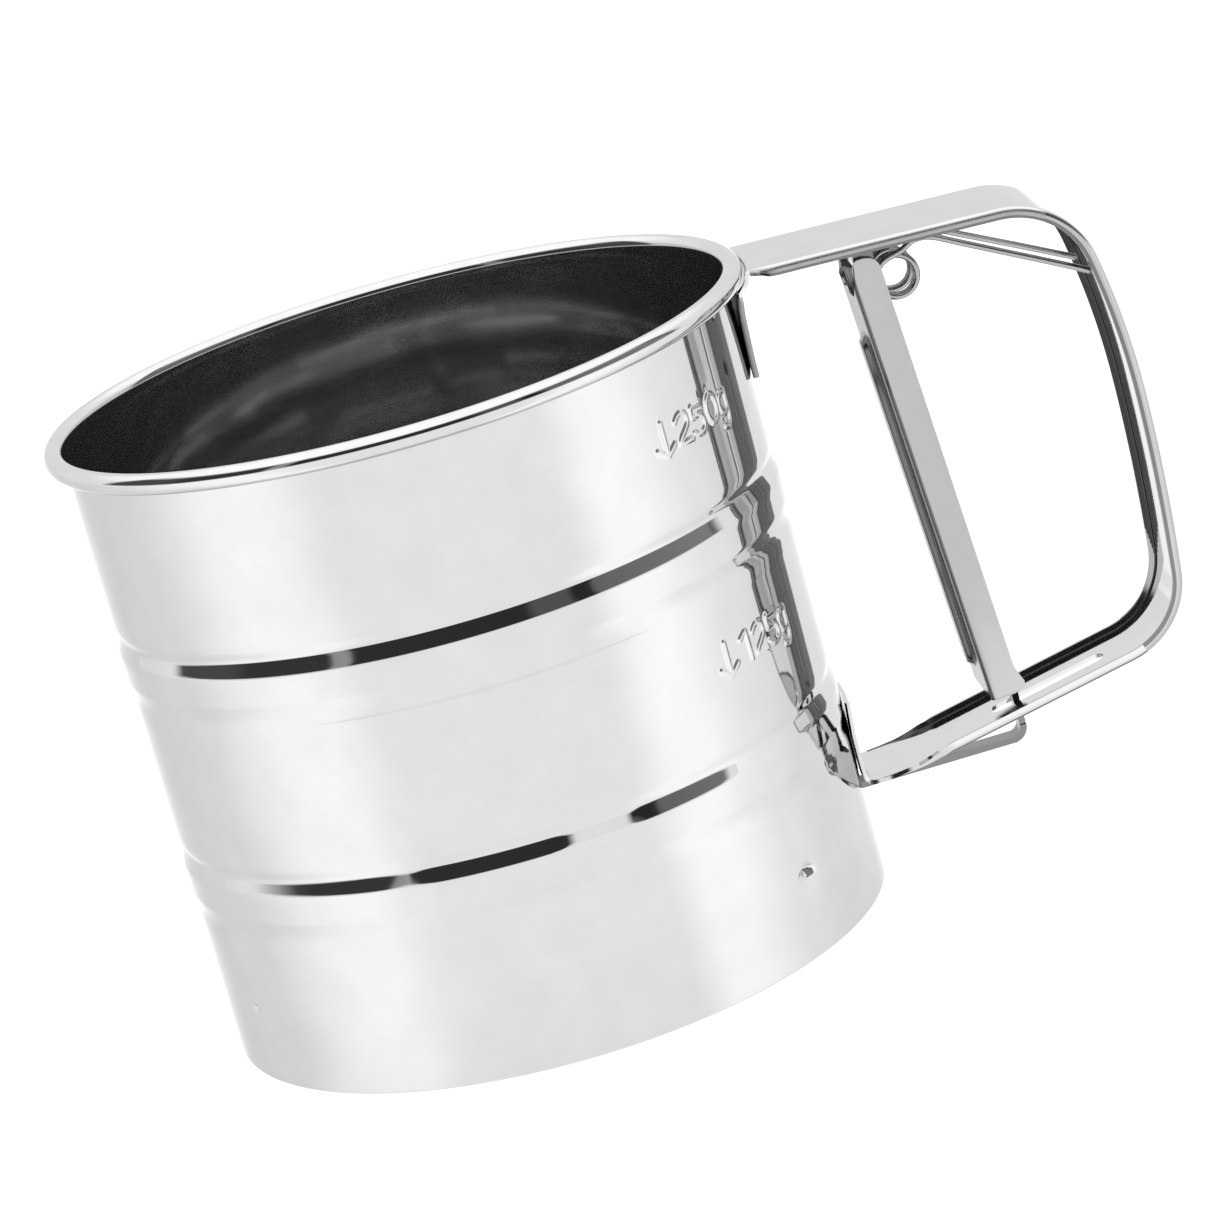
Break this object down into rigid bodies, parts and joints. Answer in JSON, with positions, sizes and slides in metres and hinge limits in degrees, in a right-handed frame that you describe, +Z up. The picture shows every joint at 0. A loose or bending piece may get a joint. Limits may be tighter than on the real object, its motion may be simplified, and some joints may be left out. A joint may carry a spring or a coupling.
{
  "type": "flour sifter",
  "caption": "One-hand flour sifter: a steel cup with a mesh bottom, a strap handle, and a sprung squeeze trigger whose link swings an agitator over the mesh.",
  "frame": {"origin": "centre of the cup's base, on the plane it stands on", "axes": "+Z up the cup's axis, +X out through the handle"},
  "size_m": [0.1575, 0.1054, 0.096],
  "materials": {
    "polished_wall": "mirror polished",
    "polished_strap": "mirror polished",
    "polished_trigger": "bright",
    "satin_steel": "satin",
    "spring_wire": "drawn wire",
    "woven_mesh": "woven wire"
  },
  "bodies": {
    "cup_and_handle": {"cup_body": "polished_wall", "sieve_frame": "satin_steel", "sieve_mesh": "woven_mesh", "mesh_clamp_ring": "satin_steel", "support_bar": "satin_steel", "centre_stud": "satin_steel", "stud_spacer": "satin_steel", "stud_cap": "polished_strap", "handle_strap": "polished_strap", "hinge_bracket": "satin_steel", "hinge_pin": "satin_steel", "return_spring": "spring_wire"},
    "trigger": {"trigger_channel": "polished_trigger", "link_pin": "satin_steel", "link_spacers": "satin_steel"},
    "link": {"link_bar": "satin_steel"},
    "agitator": {"agitator_hub": "satin_steel", "lower_blade": "satin_steel", "upper_blade": "satin_steel", "crank_pin": "satin_steel", "crank_pin_cap": "polished_strap"}
  },
  "joints": [
    {"name": "trigger_hinge", "type": "hinge", "parent": "cup_and_handle", "child": "trigger", "pos_m": [0.0697, 0, 0.0889], "axis": [0, -1, 0], "range_deg": [0, 10.6], "stiffness_Nm_per_rad": 1.2, "springref_deg": -8.59, "deforming": ["return_spring"]},
    {"name": "link_hinge", "type": "hinge", "parent": "trigger", "child": "link", "pos_m": [0.0743, 0, 0.0246], "axis": [0, -1, 0], "range_deg": [-8.1, 0]},
    {"name": "agitator_turn", "type": "hinge", "parent": "cup_and_handle", "child": "agitator", "pos_m": [0, 0, 0.0055], "axis": [0, 0, 1], "range_deg": [0, 62.3]}
  ],
  "couplings": [
    {"joint": "link_hinge", "follows": "trigger_hinge", "ratio": -0.755},
    {"joint": "agitator_turn", "follows": "trigger_hinge", "ratio": 5.874}
  ]
}
